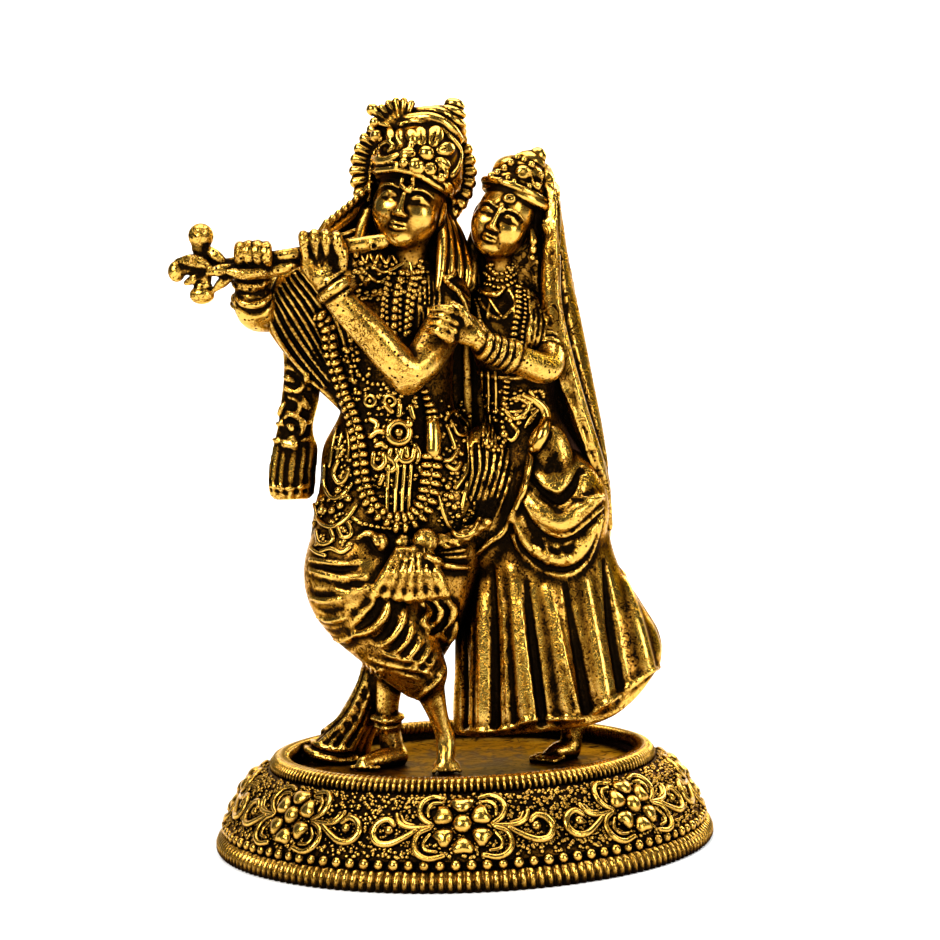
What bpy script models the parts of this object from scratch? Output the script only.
"""A cast statuette of Krishna playing the flute with Radha at his side, on a round plinth with a dished top.

Metres, +Z up, front towards -Y. The origin is the centre of the plinth's underside.
"""

import math

import bmesh
import bpy
from mathutils import Euler, Matrix, Vector

MM = 0.001

# Driving dimensions of the figures
FIGURE_HEIGHT = 111 * MM  # from the dish floor to the top of the turban knob
DRAWN_HEIGHT = 111  # height of the pose as it is drawn below, so one drawn unit is a millimetre at real size
STANCE_RADIUS = 31.5  # reach of the feet and the robe's tail from the axis, in drawn units
SKIN_CELL = 0.5  # cell of the skin that joins the modelled forms, in drawn units
SKIN_KEEP = 0.0275  # share of the skin's faces that the faceted solid keeps

# Driving dimensions of the plinth
PLINTH_HEIGHT = 14.1 * MM  # to the top of the rim
DISH_DEPTH = 2.8 * MM
DISH_MARGIN = 0.6 * MM  # between the robe's tail and the rim
RIM_THICKNESS = 2.2 * MM
WALL_SPREAD = 5.4 * MM  # how far the sloping wall runs out from the rim to the bead row
BASE_RING_REACH = 1.8 * MM  # how far the base ring stands out beyond the bead row's foot
BASE_RING_HEIGHT = 3.1 * MM
LIP_HEIGHT = 0.9 * MM  # plain lip under the ribbed base ring
BEAD_ROW_HEIGHT = 1.7 * MM  # half-round moulding that carries the row of beads
ROSETTE_COUNT = 8
PETAL_COUNT = 6
SEAT_GAP = 0.3 * MM  # between the figures' soles and the dish floor

# What follows from them
DISH_RADIUS = FIGURE_HEIGHT * STANCE_RADIUS / DRAWN_HEIGHT + DISH_MARGIN
RIM_RADIUS = DISH_RADIUS + RIM_THICKNESS / 2
WALL_TOP_RADIUS = RIM_RADIUS + RIM_THICKNESS * 0.35
BEAD_ROW_RADIUS = WALL_TOP_RADIUS + WALL_SPREAD
PLINTH_RADIUS = BEAD_ROW_RADIUS + BASE_RING_REACH
FLOOR_Z = PLINTH_HEIGHT - DISH_DEPTH
WALL_FOOT_Z = BASE_RING_HEIGHT + BEAD_ROW_HEIGHT
WALL_TOP_Z = PLINTH_HEIGHT - RIM_THICKNESS * 0.85

GOLD = (0.72, 0.45, 0.13, 1)
DARK_GOLD = (0.55, 0.34, 0.10, 1)


def clear_scene():
    for obj in list(bpy.data.objects):
        bpy.data.objects.remove(obj)


def metal(name, colour, roughness):
    material = bpy.data.materials.new(name)
    material.use_nodes = True
    shader = material.node_tree.nodes["Principled BSDF"]
    shader.inputs["Base Color"].default_value = colour
    shader.inputs["Metallic"].default_value = 1.0
    shader.inputs["Roughness"].default_value = roughness
    return material


# Modelling helpers. Each adds one closed form, in drawn units, to a clay bmesh.


def add_mesh(clay, mesh):
    """Copies a mesh into the clay and removes it."""
    clay.from_mesh(mesh)
    bpy.data.meshes.remove(mesh)


def add_ball(clay, centre, radii, turn=(0, 0, 0), detail=3):
    """An ellipsoid. turn is its rotation about X, Y and Z in degrees."""
    if not hasattr(radii, "__len__"):
        radii = (radii, radii, radii)
    form = bmesh.new()
    bmesh.ops.create_icosphere(form, subdivisions=detail, radius=1)
    rotation = Euler([math.radians(angle) for angle in turn]).to_matrix().to_4x4()
    place = Matrix.Translation(centre) @ rotation @ Matrix.Diagonal((*radii, 1))
    bmesh.ops.transform(form, matrix=place, verts=form.verts)
    mesh = bpy.data.meshes.new("ball")
    form.to_mesh(mesh)
    form.free()
    add_mesh(clay, mesh)


def add_tube(clay, points, radii):
    """A tube through the points with rounded ends."""
    if not hasattr(radii, "__len__"):
        radii = [radii] * len(points)
    curve = bpy.data.curves.new("tube", "CURVE")
    curve.dimensions = "3D"
    curve.bevel_depth = 1
    curve.bevel_resolution = 2
    curve.resolution_u = 6
    curve.use_fill_caps = True
    spline = curve.splines.new("BEZIER")
    spline.bezier_points.add(len(points) - 1)
    for knot, point, radius in zip(spline.bezier_points, points, radii):
        knot.co = point
        knot.radius = radius
        knot.handle_left_type = knot.handle_right_type = "AUTO"
    guide = bpy.data.objects.new("tube", curve)
    bpy.context.scene.collection.objects.link(guide)
    graph = bpy.context.evaluated_depsgraph_get()
    mesh = bpy.data.meshes.new_from_object(guide.evaluated_get(graph))
    bpy.data.objects.remove(guide)
    bpy.data.curves.remove(curve)
    add_mesh(clay, mesh)
    for end, radius in ((points[0], radii[0]), (points[-1], radii[-1])):
        add_ball(clay, end, radius, detail=2)


def add_loft(clay, sections, folds=0, depth=0.0, phase=0.0, sides=72, lift=None):
    """A closed loft through elliptical sections (z, centre x, centre y, radius x, radius y).

    folds and depth ripple it all round, and lift(x, share) raises a ring's points, share running from 0 at
    the first ring to 1 at the last.
    """
    form = bmesh.new()
    rings = []
    for index, (z, cx, cy, rx, ry) in enumerate(sections):
        share = index / (len(sections) - 1)
        ring = []
        for side in range(sides):
            angle = math.tau * side / sides
            ripple = 1 + depth * math.sin(folds * angle + phase)
            x = cx + rx * ripple * math.cos(angle)
            y = cy + ry * ripple * math.sin(angle)
            raised = lift(x, share) if lift else 0.0
            ring.append(form.verts.new((x, y, z + raised)))
        rings.append(ring)
    for lower, upper in zip(rings, rings[1:]):
        for side in range(sides):
            after = (side + 1) % sides
            form.faces.new((lower[side], lower[after], upper[after], upper[side]))
    form.faces.new(rings[0])
    form.faces.new(rings[-1])
    bmesh.ops.recalc_face_normals(form, faces=form.faces)
    mesh = bpy.data.meshes.new("loft")
    form.to_mesh(mesh)
    form.free()
    add_mesh(clay, mesh)


def curve_points(knots, count):
    """count points, evenly spread, on a smooth curve through the knots."""
    knots = [Vector(k) for k in knots]
    dense = []
    for i in range(len(knots) - 1):
        before, start = knots[max(i - 1, 0)], knots[i]
        end, after = knots[i + 1], knots[min(i + 2, len(knots) - 1)]
        for step in range(12):
            t = step / 12
            pull_in, pull_out = (end - before) / 2, (after - start) / 2
            dense.append(
                start * (2 * t**3 - 3 * t**2 + 1)
                + pull_in * (t**3 - 2 * t**2 + t)
                + end * (3 * t**2 - 2 * t**3)
                + pull_out * (t**3 - t**2)
            )
    dense.append(knots[-1])
    run = [0.0]
    for a, b in zip(dense, dense[1:]):
        run.append(run[-1] + (b - a).length)
    found, j = [], 0
    for i in range(count):
        goal = run[-1] * i / (count - 1)
        while j < len(run) - 2 and run[j + 1] < goal:
            j += 1
        share = (goal - run[j]) / max(run[j + 1] - run[j], 1e-9)
        found.append(dense[j].lerp(dense[j + 1], share))
    return found


def add_string(clay, knots, count, radii):
    """A string of beads."""
    for point in curve_points(knots, count):
        add_ball(clay, point, radii, detail=2)


# Krishna


def krishna_head(clay):
    tilt = (0, 12, 0)
    add_ball(clay, (-5.4, -3.6, 93.2), (5.9, 6.2, 8.0), tilt)
    add_ball(clay, (-6.3, -6.6, 87.6), (3.4, 2.8, 2.7), tilt)
    add_tube(clay, [(-4.9, -9.2, 94.6), (-5.5, -10.2, 91.8)], [0.6, 1.1])
    add_ball(clay, (-4.6, 2.2, 97.0), (7.6, 4.6, 8.6), tilt)
    add_tube(clay, [(-6.0, -2.6, 87), (-6.4, -1.4, 80)], [3.0, 3.4])
    # Turban: band, cap, rolled cloth and knob
    add_loft(
        clay,
        [
            (95.8, -4.4, -3.0, 6.9, 7.4),
            (98.5, -4.0, -3.0, 7.3, 7.8),
            (103.0, -3.6, -2.4, 6.8, 7.0),
            (106.6, -3.2, -1.6, 4.6, 4.8),
        ],
        lift=lambda x, share: -0.22 * (x + 4.0) * (1 - share),
    )
    add_ball(clay, (-2.2, -10.0, 101.0), (2.6, 1.2, 2.6))
    for petal in range(5):
        angle = math.tau * petal / 5 + 0.3
        centre = (-2.2 + 2.6 * math.cos(angle), -9.8, 101.0 + 2.6 * math.sin(angle))
        add_ball(clay, centre, (1.5, 0.9, 1.5), detail=2)
    add_tube(clay, [(-10.0, -5.5, 99.3), (-7.6, -8.6, 99.8), (-5.0, -9.8, 100.0)], [0.8, 1.0, 1.1])
    add_tube(clay, [(-6.5, -4.5, 107.0), (-1.2, -5.6, 106.2), (3.0, -4.2, 103.2), (4.6, -1.0, 100.6)], 1.3)
    add_tube(clay, [(-4.5, -3.5, 108.0), (0.0, -4.2, 107.6), (3.6, -2.8, 105.2)], 1.2)
    add_ball(clay, (1.6, -2.8, 107.6), (2.6, 2.2, 1.9))
    add_ball(clay, (1.7, -2.8, 109.7), (1.8, 1.6, 1.3))
    # Peacock-feather fan on the other side
    for rib in range(7):
        angle = math.radians(62 + 17 * rib)
        tip = (-6.8 + 4.4 * math.cos(angle), -4.8, 105.6 + 4.5 * math.sin(angle))
        add_tube(clay, [(-6.4, -4.8, 105.4), tip], [0.5, 1.0])
    # Ring of curls that frames the head
    for curl in range(25):
        angle = math.radians(-58 + 11.2 * curl)
        inner = (-5.0 + 5.5 * math.cos(angle), 0.4, 99.2 + 5.5 * math.sin(angle))
        outer = (-5.0 + 9.9 * math.cos(angle), 0.2, 99.2 + 9.9 * math.sin(angle))
        add_tube(clay, [inner, outer], [0.8, 1.05])
    add_loft(
        clay,
        [
            (94.0, -4.8, 1.0, 8.6, 1.4),
            (99.4, -4.8, 1.0, 9.3, 1.5),
            (105.0, -4.8, 1.0, 7.2, 1.4),
            (108.0, -4.8, 1.0, 3.0, 1.2),
        ],
    )
    # Locks of hair on the shoulders
    for lock in range(4):
        near = [
            (0.2 - 0.5 * lock, 0.6 - lock, 92.0),
            (2.2 - lock, 0.4 - lock, 86.6),
            (4.2 - 1.6 * lock, -0.8 - lock, 79.5),
        ]
        far = [
            (-12.6, 0.6 - lock, 92.0),
            (-15.6 + 0.6 * lock, -1.6 - lock, 88.6),
            (-19.4 + 1.6 * lock, -3.6 - lock, 84.0),
        ]
        add_tube(clay, near, 1.3)
        add_tube(clay, far, 1.4)
    add_tube(clay, [(-13.0, 0.0, 95.4), (-16.4, -3.4, 91.8), (-19.6, -9.0, 88.8)], [1.1, 1.4, 1.4])
    add_ball(clay, (-1.6, 0.8, 86.0), (3.2, 2.4, 5.4))


def krishna_body(clay):
    add_loft(
        clay,
        [
            (34.0, -9.0, 0.0, 13.0, 7.8),
            (38.0, -9.2, 0.0, 14.4, 8.6),
            (43.0, -8.9, 0.0, 14.4, 8.6),
            (48.0, -8.6, -0.2, 13.2, 8.0),
            (54.0, -8.6, -0.3, 10.8, 7.0),
            (60.0, -8.7, -0.4, 8.3, 6.0),
            (68.0, -8.5, -0.6, 9.2, 6.6),
            (75.0, -8.2, -0.6, 10.2, 6.8),
            (79.0, -8.0, -0.4, 10.4, 6.0),
            (82.0, -7.4, -0.6, 8.0, 4.4),
            (83.4, -6.6, -0.8, 4.4, 3.6),
        ],
    )


def krishna_arms(clay):
    # The arm that crosses the chest, its hand and bracelet
    crossing = [
        (0.4, -1.2, 79.0),
        (-0.8, -6.6, 72.2),
        (-6.2, -11.6, 65.6),
        (-12.2, -13.6, 71.6),
        (-17.6, -15.0, 77.4),
    ]
    add_tube(clay, crossing, [3.5, 3.3, 3.0, 2.9, 2.2])
    add_tube(clay, [(-16.6, -14.8, 76.2), (-17.5, -15.0, 77.6)], 2.7)
    add_ball(clay, (-19.6, -15.6, 81.6), (3.3, 1.7, 4.6), (0, -18, 0))
    for finger in range(4):
        x = -23.2 + 1.8 * finger
        add_tube(clay, [(x + 1.0, -16.4, 82.4), (x, -17.0, 85.6), (x, -15.0, 87.2)], 0.85)
    # The arm held out to the side, its hand and armlet
    outstretched = [
        (-16.0, 0.0, 79.2),
        (-24.0, -3.4, 77.4),
        (-31.0, -7.6, 76.2),
        (-31.4, -11.6, 78.4),
        (-30.6, -14.2, 82.0),
    ]
    add_tube(clay, outstretched, [3.8, 3.6, 3.1, 2.8, 2.2])
    add_tube(clay, [(-31.4, -10.4, 76.4), (-31.2, -11.8, 78.4)], 3.3)
    add_ball(clay, (-29.4, -14.6, 82.6), (3.4, 1.7, 1.8))
    for finger in range(4):
        x = -33.0 + 1.5 * finger
        add_tube(clay, [(x, -13.0, 83.6), (x, -14.6, 86.4), (x + 0.2, -15.8, 84.2)], 0.8)


def flute(clay):
    add_tube(clay, [(-39.5, -14.2, 82.6), (-26.0, -14.6, 84.2), (-10.0, -13.6, 86.2)], [1.0, 1.1, 1.3])
    add_ball(clay, (-36.6, -14.4, 83.0), (3.6, 1.5, 2.2), (0, 10, 0))
    heart = (-38.4, -14.2, 83.4)
    add_ball(clay, heart, (3.2, 1.5, 2.7))
    for ball, size in (((-38.8, -14.2, 88.2), 2.0), ((-42.8, -14.0, 82.7), 1.7), ((-39.1, -14.2, 78.8), 1.6)):
        add_tube(clay, [heart, ball], [1.3, 1.2])
        add_ball(clay, ball, size)


def scarf(clay):
    # Folds that fall from the outstretched arm to the waist
    for fold in range(8):
        share = fold / 7
        hem = Vector((-28.0, -9.0, 81.4)).lerp(Vector((-17.0, -8.4, 85.0)), share)
        start = Vector((-29.6, -7.0, 74.6)).lerp(Vector((-17.6, -6.0, 79.4)), share)
        middle = Vector((-24.4, -2.4, 68.0)).lerp(Vector((-16.8, -5.0, 73.0)), share)
        end = Vector((-18.0, 0.0, 60.6)).lerp(Vector((-15.6, -3.6, 64.0)), share)
        add_tube(clay, [hem, start, middle, end], [1.2, 1.5, 1.5, 1.2])
    # The end that hangs down at the side
    add_loft(
        clay,
        [
            (45.2, -27.2, 2.6, 3.0, 1.5),
            (46.6, -27.2, 2.6, 3.7, 2.1),
            (50.0, -27.0, 2.5, 3.9, 2.0),
            (53.6, -26.4, 2.3, 3.8, 1.7),
            (57.0, -26.3, 2.2, 3.0, 1.6),
            (62.0, -25.2, 1.6, 3.2, 1.6),
            (67.0, -24.6, 0.6, 3.1, 1.8),
            (74.0, -24.6, -1.8, 3.1, 2.2),
        ],
        folds=9,
        depth=0.08,
    )


def shawl(clay):
    """The cloth that falls behind Krishna's shoulder and closes the space between the two figures."""
    add_loft(
        clay,
        [
            (38.0, 2.0, 4.4, 8.0, 2.6),
            (50.0, 2.4, 4.8, 6.4, 2.4),
            (60.0, 2.8, 4.6, 5.6, 2.2),
            (70.0, 3.0, 3.8, 5.4, 2.2),
            (79.0, 3.2, 2.8, 5.0, 2.2),
            (85.0, 3.4, 2.4, 3.6, 2.0),
        ],
        folds=9,
        depth=0.07,
    )


def garland(clay):
    knots = [
        (-12.6, -5.4, 81.4),
        (-17.4, -7.0, 75.6),
        (-16.8, -7.8, 67.0),
        (-15.6, -7.6, 58.0),
        (-14.6, -8.6, 50.0),
        (-12.6, -9.6, 43.6),
        (-6.4, -10.2, 40.8),
        (-2.2, -9.6, 44.0),
        (-1.0, -8.4, 52.0),
        (-1.6, -7.2, 59.0),
    ]
    add_string(clay, knots, 46, (1.55, 1.2, 0.72))
    for strand in range(3):
        x = -10.4 + 2.5 * strand
        add_string(clay, [(-5.8 + strand * 1.6, -4.6, 81.6), (x, -7.6, 76), (x, -7.8, 68)], 11, 0.75)
    # Pendant and tassel between the garland's sides
    ring = []
    for step in range(9):
        angle = math.tau * step / 8
        ring.append((-8.4 + 1.8 * math.cos(angle), -8.3, 55.2 + 1.8 * math.sin(angle)))
    add_tube(clay, ring, 0.6)
    for strand in range(4):
        x = -10.6 + 1.5 * strand
        add_tube(clay, [(x + 0.6, -7.6, 52.0), (x, -9.2, 43.4)], 0.6)


def krishna_dress(clay):
    # Swags of jewelled cloth on the hips
    for side, middle_x in ((-1, -8.8), (1, -8.4)):
        for row in range(3):
            reach = 6.8 + 1.9 * row
            low = 50.5 - 3.6 * row
            knots = [
                (middle_x + side * (5.8 + row * 0.2), -6.4, 56.6 - 2 * row),
                (middle_x + side * (reach + 0.6), -7.2 + row * 0.4, low - 0.8),
                (middle_x + side * (reach + 4.4), -2.8, low + 3.4 - row),
            ]
            add_tube(clay, knots, [0.7, 0.85, 0.7])
    # Sash across the hips with its two knots
    add_tube(clay, [(-22.6, -3.0, 41.6), (-17.0, -8.0, 39.6), (-9.8, -9.8, 38.4)], [1.2, 1.6, 1.8])
    add_tube(clay, [(-5.0, -9.8, 38.0), (0.6, -8.8, 38.0), (6.0, -5.8, 40.4)], [1.8, 1.5, 1.2])
    add_ball(clay, (-10.4, -9.6, 38.4), (2.5, 1.8, 2.2))
    add_ball(clay, (-3.8, -9.8, 37.4), (3.4, 1.9, 2.1), (0, 8, 0))
    # Pleats that fan out below the knots
    for pleat in range(6):
        share = pleat / 5
        top = (-9.6 + 5.6 * share, -8.6, 36.6)
        low = (-13.2 + 13.4 * share, -10.6 + 1.4 * abs(share - 0.5), 28.8 + 1.4 * abs(share - 0.4))
        add_tube(clay, [top, low], [0.9, 1.6])
    # The dhoti wrapped round the crossed leg, with its folds
    add_tube(
        clay,
        [(-13.4, -1.0, 39.0), (-15.6, -4.6, 31.4), (-10.6, -6.6, 23.0), (-6.4, -6.4, 16.6)],
        [9.8, 9.2, 7.0, 4.8],
    )
    add_tube(clay, [(-3.0, 0.6, 36.0), (-5.4, -0.6, 26.0), (-8.6, 0.6, 17.0)], [8.0, 6.4, 4.4])
    for fold in range(6):
        share = fold / 5
        start = Vector((-24.6, -4.2, 35.0)).lerp(Vector((-12.8, -10.8, 15.4)), share)
        middle = Vector((-17.6, -13.6, 33.0)).lerp(Vector((-7.4, -12.4, 17.4)), share)
        end = Vector((-11.4, -12.2, 34.4)).lerp(Vector((-1.4, -8.0, 20.6)), share)
        add_tube(clay, [start, middle, end], [0.9, 1.2, 0.9])
    # The robe's tail that falls behind to the dish
    add_loft(
        clay,
        [
            (-0.8, -22.2, 8.6, 6.2, 4.6),
            (2.6, -21.0, 8.2, 5.4, 4.2),
            (6.5, -18.2, 7.2, 4.1, 3.6),
            (12.0, -15.2, 5.6, 3.4, 3.0),
            (18.0, -12.8, 4.4, 3.3, 3.0),
            (26.0, -12.0, 2.6, 5.0, 4.0),
        ],
        folds=11,
        depth=0.07,
    )


def krishna_feet(clay):
    # The crossed foot stands on its toes
    add_tube(
        clay,
        [(-5.0, -6.2, 14.0), (-3.6, -6.0, 9.0), (-2.6, -5.8, 5.4), (-2.8, -6.8, 1.6)],
        [2.6, 1.7, 1.9, 1.7],
    )
    for toe in range(4):
        add_ball(clay, (-4.8 + 1.3 * toe, -7.8, 0.2), (0.8, 1.2, 0.9), detail=2)
    # The foot that carries the weight, turned out
    add_tube(clay, [(-11.4, 1.6, 18.0), (-12.4, 2.2, 9.0), (-11.8, 2.4, 3.0)], [2.8, 2.0, 2.2])
    add_tube(clay, [(-11.4, 2.6, 1.4), (-13.6, 0.4, 1.3), (-15.8, -1.4, 0.4)], [2.1, 1.9, 1.4])
    add_tube(clay, [(-14.6, 2.0, 8.2), (-12.4, 0.0, 8.0), (-10.2, 2.0, 8.2)], 0.8)


# Radha


def radha_head(clay):
    tilt = (0, 22, 0)
    add_ball(clay, (9.9, -1.4, 90.4), (5.0, 5.4, 6.9), tilt)
    add_ball(clay, (8.1, -4.2, 85.8), (3.0, 2.4, 2.4), tilt)
    add_tube(clay, [(9.3, -6.2, 91.4), (8.5, -7.2, 89.0)], [0.5, 0.95])
    add_tube(clay, [(8.9, -0.4, 85.0), (9.2, 0.8, 78.0)], [2.5, 3.0])
    # Crown: rim, cap, jewel and knob
    for turn in range(14):
        angle = math.radians(170 + 200 * turn / 13)
        centre = (12.0 + 5.4 * math.cos(angle), 0.2 + 5.9 * math.sin(angle), 95.4 - 2.1 * math.cos(angle))
        add_ball(clay, centre, 0.85, detail=2)
    add_ball(clay, (12.3, 0.2, 95.8), (4.9, 5.1, 4.2), tilt)
    add_ball(clay, (14.2, 0.4, 98.4), (2.7, 2.9, 3.0), tilt)
    add_ball(clay, (13.2, -4.3, 97.2), (1.5, 1.2, 1.5))
    add_ball(clay, (15.8, 0.6, 101.2), 1.6)
    add_string(clay, [(14.3, -2.6, 87.6), (14.2, -3.2, 84.4)], 3, 0.8)


def radha_body(clay):
    add_loft(
        clay,
        [
            (44.0, 14.0, 2.8, 9.6, 7.2),
            (50.0, 13.6, 2.8, 8.8, 6.8),
            (55.0, 12.8, 2.6, 7.2, 5.6),
            (60.0, 12.0, 2.2, 6.0, 4.8),
            (66.0, 11.2, 1.6, 6.6, 5.2),
            (71.0, 10.7, 1.0, 7.4, 5.8),
            (75.0, 10.6, 1.4, 7.8, 5.0),
            (78.0, 10.2, 1.8, 6.6, 4.0),
            (79.6, 9.6, 1.6, 3.6, 3.0),
        ],
    )
    add_ball(clay, (7.2, -2.2, 71.6), (3.2, 2.8, 3.0))
    add_ball(clay, (13.2, -2.2, 71.2), (3.2, 2.8, 3.0))


def radha_arm(clay):
    add_tube(
        clay,
        [(17.2, 2.0, 75.0), (17.4, -1.6, 69.4), (16.0, -5.8, 65.4), (11.6, -9.2, 66.6), (7.0, -11.4, 68.6)],
        [3.0, 2.8, 2.7, 2.5, 2.1],
    )
    for bangle in range(4):
        near = Vector((9.4 - 1.3 * bangle, -10.4 - 0.3 * bangle, 67.5 + 0.4 * bangle))
        add_tube(clay, [near, near + Vector((-0.6, -0.3, 0.3))], 2.7)
    add_ball(clay, (2.8, -12.2, 71.6), (3.2, 1.6, 2.4), (0, 40, 0))
    for finger in range(4):
        knuckle = (3.0 - 0.9 * finger, -13.4, 73.0 - 1.1 * finger)
        tip = (-2.8 - 0.4 * finger, -11.0, 75.6 - 1.3 * finger)
        add_tube(clay, [knuckle, tip], [0.9, 0.7])


def skirt_lift(x, share):
    """Raises the hem of the swinging skirt towards its outer side."""
    swing = max(0.0, (x - 17.0) / 18.0)
    return (12.5 * swing**3 + 0.09 * x) * (1 - share) ** 2


def radha_skirt(clay):
    add_loft(
        clay,
        [
            (5.0, 16.4, 2.6, 17.4, 10.4),
            (9.0, 16.4, 2.6, 17.6, 10.4),
            (16.0, 16.2, 2.8, 16.9, 10.0),
            (24.0, 15.2, 3.0, 15.4, 9.4),
            (32.0, 14.6, 3.0, 12.6, 8.6),
            (40.0, 14.4, 3.0, 11.0, 8.0),
            (48.0, 14.0, 3.0, 9.8, 7.2),
        ],
        folds=17,
        depth=0.055,
        phase=0.6,
        sides=136,
        lift=skirt_lift,
    )
    # Overskirt with its swags
    add_ball(clay, (16.2, -0.6, 42.2), (9.6, 8.0, 11.0))
    add_ball(clay, (15.8, -4.6, 49.6), (4.6, 4.4, 8.0), (0, -4, 0))
    add_tube(
        clay,
        [(10.0, -5.6, 45.6), (12.6, -8.8, 39.6), (16.4, -10.0, 37.0), (20.6, -8.2, 39.4), (24.8, -1.8, 43.4)],
        [1.0, 1.7, 2.0, 1.8, 1.2],
    )
    add_tube(
        clay,
        [(8.6, -5.6, 40.4), (11.6, -8.4, 34.4), (16.2, -9.6, 31.2), (21.2, -7.4, 33.0), (25.8, -0.4, 38.6)],
        [0.8, 1.0, 1.1, 1.0, 0.8],
    )
    # Long edge of the mantle, across to the other figure's hip
    add_ball(clay, (5.4, -1.4, 44.6), (6.6, 6.4, 13.0))
    add_tube(
        clay,
        [(15.8, -4.4, 58.0), (14.6, -7.0, 51.4), (10.6, -8.6, 44.0), (5.4, -9.0, 36.2), (-1.6, -9.0, 31.8)],
        [1.0, 1.2, 1.0, 1.0, 1.1],
    )
    # Foot on its pad
    add_tube(clay, [(16.8, -1.0, 9.0), (16.8, -2.0, 4.6), (16.6, -2.4, 1.8)], [2.2, 1.8, 2.0])
    add_tube(clay, [(16.4, -2.6, 1.6), (14.8, -4.6, 1.4), (13.4, -6.2, 1.0)], [2.0, 1.8, 1.4])


def radha_veil(clay):
    add_loft(
        clay,
        [
            (36.0, 15.4, 5.6, 10.9, 6.4),
            (44.0, 15.7, 6.0, 11.0, 6.2),
            (54.0, 15.6, 6.4, 10.3, 5.8),
            (64.0, 14.8, 6.4, 9.5, 5.4),
            (74.0, 13.8, 5.8, 8.8, 5.2),
            (82.0, 13.4, 4.8, 7.6, 5.4),
            (90.0, 13.0, 3.6, 7.0, 5.6),
            (96.0, 13.4, 2.6, 5.7, 5.4),
            (100.4, 15.0, 2.2, 2.8, 3.2),
        ],
        folds=13,
        depth=0.03,
    )
    # Front edge of the veil
    add_tube(
        clay,
        [
            (16.6, -0.6, 97.4),
            (17.6, -1.6, 90.0),
            (17.4, -1.6, 82.0),
            (18.6, -1.6, 73.0),
            (20.2, -1.4, 64.0),
            (22.4, -1.0, 54.0),
            (24.8, -0.2, 45.0),
            (26.0, 1.2, 37.0),
        ],
        [1.2, 1.5, 1.5, 1.6, 1.6, 1.6, 1.5, 1.0],
    )


def skin(clay):
    """Joins the overlapping forms into one skin, smooths it and brings it down to a faceted solid."""
    source = bpy.data.meshes.new("figures_clay")
    clay.to_mesh(source)
    clay.free()
    guide = bpy.data.objects.new("figures_clay", source)
    bpy.context.scene.collection.objects.link(guide)
    remesh = guide.modifiers.new("skin", "REMESH")
    remesh.mode = "VOXEL"
    remesh.voxel_size = SKIN_CELL
    smooth = guide.modifiers.new("soften", "SMOOTH")
    smooth.factor = 0.5
    smooth.iterations = 2
    facet = guide.modifiers.new("facet", "DECIMATE")
    facet.ratio = SKIN_KEEP
    graph = bpy.context.evaluated_depsgraph_get()
    mesh = bpy.data.meshes.new_from_object(guide.evaluated_get(graph))
    bpy.data.objects.remove(guide)
    bpy.data.meshes.remove(source)
    return mesh


def flatten_soles(mesh):
    """Cuts the feet and the robe's tail off flat at z 0, and closes the cuts."""
    form = bmesh.new()
    form.from_mesh(mesh)
    parts = form.verts[:] + form.edges[:] + form.faces[:]
    bmesh.ops.bisect_plane(form, geom=parts, plane_co=(0, 0, 0), plane_no=(0, 0, 1), clear_inner=True)
    rims = [edge for edge in form.edges if edge.is_boundary]
    bmesh.ops.holes_fill(form, edges=rims, sides=0)
    bmesh.ops.triangulate(form, faces=form.faces)
    bmesh.ops.recalc_face_normals(form, faces=form.faces)
    form.to_mesh(mesh)
    form.free()


def build_figures(collection):
    clay = bmesh.new()
    for form in (
        krishna_body,
        krishna_head,
        krishna_arms,
        flute,
        scarf,
        shawl,
        krishna_dress,
        garland,
        krishna_feet,
        radha_body,
        radha_head,
        radha_arm,
        radha_skirt,
        radha_veil,
    ):
        form(clay)
    mesh = skin(clay)
    flatten_soles(mesh)
    unit = FIGURE_HEIGHT / DRAWN_HEIGHT
    mesh.transform(Matrix.Translation((0, 0, FLOOR_Z + SEAT_GAP)) @ Matrix.Scale(unit, 4))
    figures = bpy.data.objects.new("figures", mesh)
    figures.data.materials.append(metal("figure_gold", GOLD, 0.32))
    collection.objects.link(figures)


# Plinth


def wall_point(angle, share):
    """A point on the sloping wall. share runs from 0 at its foot to 1 at its top."""
    radius = BEAD_ROW_RADIUS + (WALL_TOP_RADIUS - BEAD_ROW_RADIUS) * share
    z = WALL_FOOT_Z + (WALL_TOP_Z - WALL_FOOT_Z) * share
    return Vector((radius * math.sin(angle), -radius * math.cos(angle), z))


def wall_frame(angle):
    """A matrix whose X runs along the wall, Z up its slope and -Y out of it."""
    origin = wall_point(angle, 0.5)
    along = Vector((math.cos(angle), math.sin(angle), 0))
    up = (wall_point(angle, 1) - wall_point(angle, 0)).normalized()
    frame = Matrix((along, up.cross(along), up)).transposed().to_4x4()
    frame.translation = origin
    return frame


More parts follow.
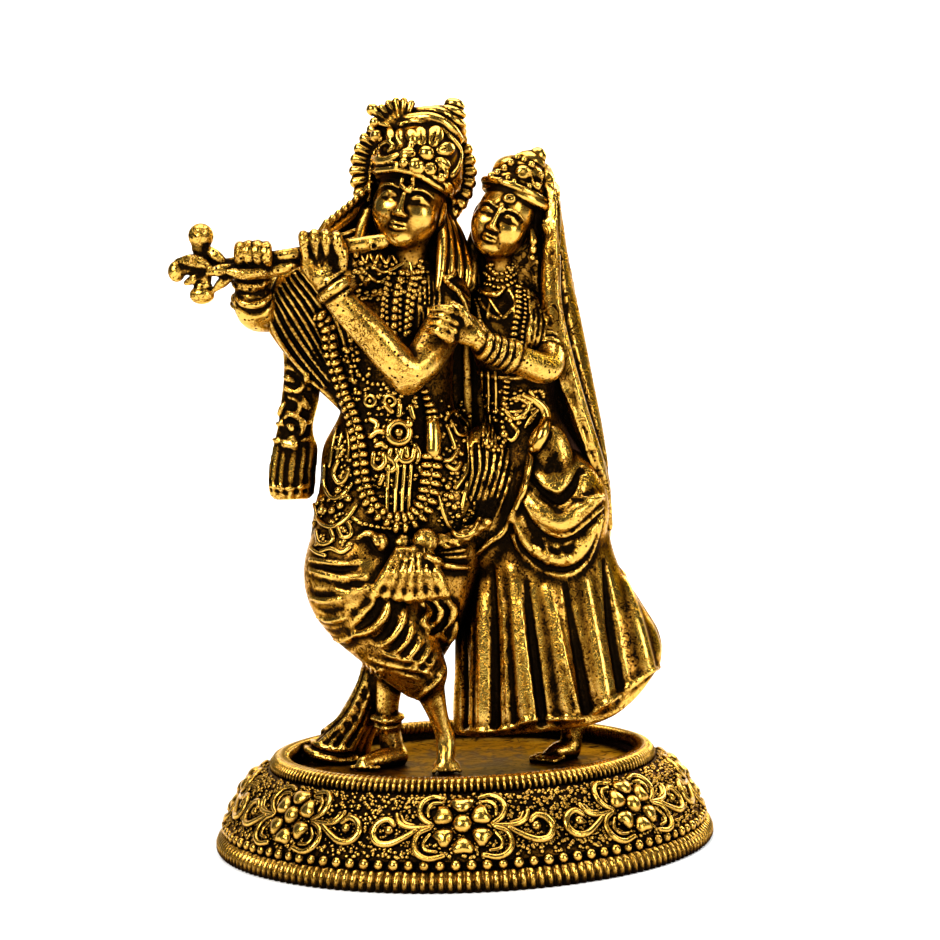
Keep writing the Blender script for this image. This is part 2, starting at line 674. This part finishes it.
def turned_plinth(collection):
    """The plinth's plain body: a profile turned about the axis, from the rim's inside to the underside."""
    half_rim = RIM_THICKNESS / 2
    rim_z = PLINTH_HEIGHT - half_rim
    profile = [(0, FLOOR_Z), (DISH_RADIUS - half_rim * 0.2, FLOOR_Z)]
    for step in range(4):
        angle = math.radians(150 - 55 * step)
        profile.append((RIM_RADIUS + half_rim * math.cos(angle), rim_z + half_rim * math.sin(angle)))
    profile += [
        (WALL_TOP_RADIUS, WALL_TOP_Z),
        (BEAD_ROW_RADIUS, WALL_FOOT_Z),
        (BEAD_ROW_RADIUS + BEAD_ROW_HEIGHT / 3, WALL_FOOT_Z - BEAD_ROW_HEIGHT * 0.3),
        (BEAD_ROW_RADIUS + BEAD_ROW_HEIGHT / 3, BASE_RING_HEIGHT + BEAD_ROW_HEIGHT * 0.2),
        (BEAD_ROW_RADIUS, BASE_RING_HEIGHT),
        (PLINTH_RADIUS - LIP_HEIGHT / 2, BASE_RING_HEIGHT),
        (PLINTH_RADIUS, BASE_RING_HEIGHT - LIP_HEIGHT / 2),
        (PLINTH_RADIUS, LIP_HEIGHT / 2),
        (PLINTH_RADIUS - LIP_HEIGHT / 2, 0),
        (0, 0),
    ]
    mesh = bpy.data.meshes.new("plinth")
    edges = [(i, i + 1) for i in range(len(profile) - 1)]
    mesh.from_pydata([(radius, 0, z) for radius, z in profile], edges, [])
    plinth = bpy.data.objects.new("plinth", mesh)
    collection.objects.link(plinth)
    screw = plinth.modifiers.new("turn", "SCREW")
    screw.steps = screw.render_steps = 48
    screw.use_merge_vertices = True
    screw.merge_threshold = 0.00001
    return plinth


def add_relief_boss(form, frame, centre, radius, height):
    """A petal or the heart of a flower: a five-sided boss, half sunk in the wall."""
    place = frame @ Matrix.Translation(centre) @ Matrix.Rotation(math.radians(90), 4, "X")
    foot, crest = radius * 1.35, radius * 0.4
    bmesh.ops.create_cone(
        form, cap_ends=True, segments=5, radius1=foot, radius2=crest, depth=height * 2, matrix=place
    )


def add_relief_bar(form, frame, points, width, height):
    """A scroll on the wall: a ridge with a triangular section along points in the wall frame's X and Z."""
    rings = []
    for i, (x, z) in enumerate(points):
        before, after = points[max(i - 1, 0)], points[min(i + 1, len(points) - 1)]
        along = Vector((after[0] - before[0], after[1] - before[1])).normalized()
        across = Vector((-along.y, along.x)) * width / 2
        sunk = height * 0.8
        corners = ((x + across.x, sunk, z + across.y), (x, -height, z), (x - across.x, sunk, z - across.y))
        rings.append([form.verts.new(frame @ Vector(corner)) for corner in corners])
    for lower, upper in zip(rings, rings[1:]):
        for i in range(3):
            j = (i + 1) % 3
            form.faces.new((lower[i], lower[j], upper[j], upper[i]))
    form.faces.new(rings[0])
    form.faces.new(rings[-1])


def rosette_relief(form, angle, size):
    """A flower with its petals, and a crescent and a scroll at each side of it."""
    frame = wall_frame(angle)
    height = size * 0.2
    add_relief_boss(form, frame, (0, 0, 0), size * 0.25, height)
    for petal in range(PETAL_COUNT):
        turn = math.tau * (petal + 0.5) / PETAL_COUNT
        centre = (size * 0.56 * math.cos(turn), 0, size * 0.56 * math.sin(turn))
        add_relief_boss(form, frame, centre, size * 0.24, height)
    for side in (-1, 1):
        crescent = []
        for step in range(5):
            turn = math.radians(-72 + 36 * step)
            crescent.append((side * size * (0.62 + 0.52 * math.cos(turn)), size * 0.86 * math.sin(turn)))
        add_relief_bar(form, frame, crescent, size * 0.2, height)
        scroll = []
        for step in range(5):
            turn = math.radians(200 + 66 * step)
            reach = size * (0.42 - 0.05 * step)
            x, z = size * 1.95 + reach * math.cos(turn), -size * 0.12 + reach * math.sin(turn)
            scroll.append((side * x, z))
        add_relief_bar(form, frame, [(side * size * 1.36, 0), *scroll], size * 0.2, height)


def build_plinth(collection, helpers):
    plinth = turned_plinth(collection)
    plinth.data.materials.append(metal("plinth_gold", DARK_GOLD, 0.4))
    form = bmesh.new()
    slant = (wall_point(0, 1) - wall_point(0, 0)).length
    widest = math.tau * (WALL_TOP_RADIUS + BEAD_ROW_RADIUS) / 2 / ROSETTE_COUNT
    size = min(slant * 0.56, widest / 5.0)
    for index in range(ROSETTE_COUNT):
        rosette_relief(form, math.tau * index / ROSETTE_COUNT, size)
    bmesh.ops.recalc_face_normals(form, faces=form.faces)
    mesh = bpy.data.meshes.new("plinth_relief")
    form.to_mesh(mesh)
    form.free()
    relief = bpy.data.objects.new("plinth_relief", mesh)
    relief.hide_render = True
    relief.display_type = "WIRE"
    helpers.objects.link(relief)
    join = plinth.modifiers.new("relief", "BOOLEAN")
    join.operation = "UNION"
    join.use_self = True  # the petals and scrolls overlap one another
    join.object = relief


def main():
    clear_scene()
    parts = bpy.data.collections.new("krishna_and_radha_statuette")
    helpers = bpy.data.collections.new("cutters")
    bpy.context.scene.collection.children.link(parts)
    bpy.context.scene.collection.children.link(helpers)
    build_plinth(parts, helpers)
    build_figures(parts)


main()
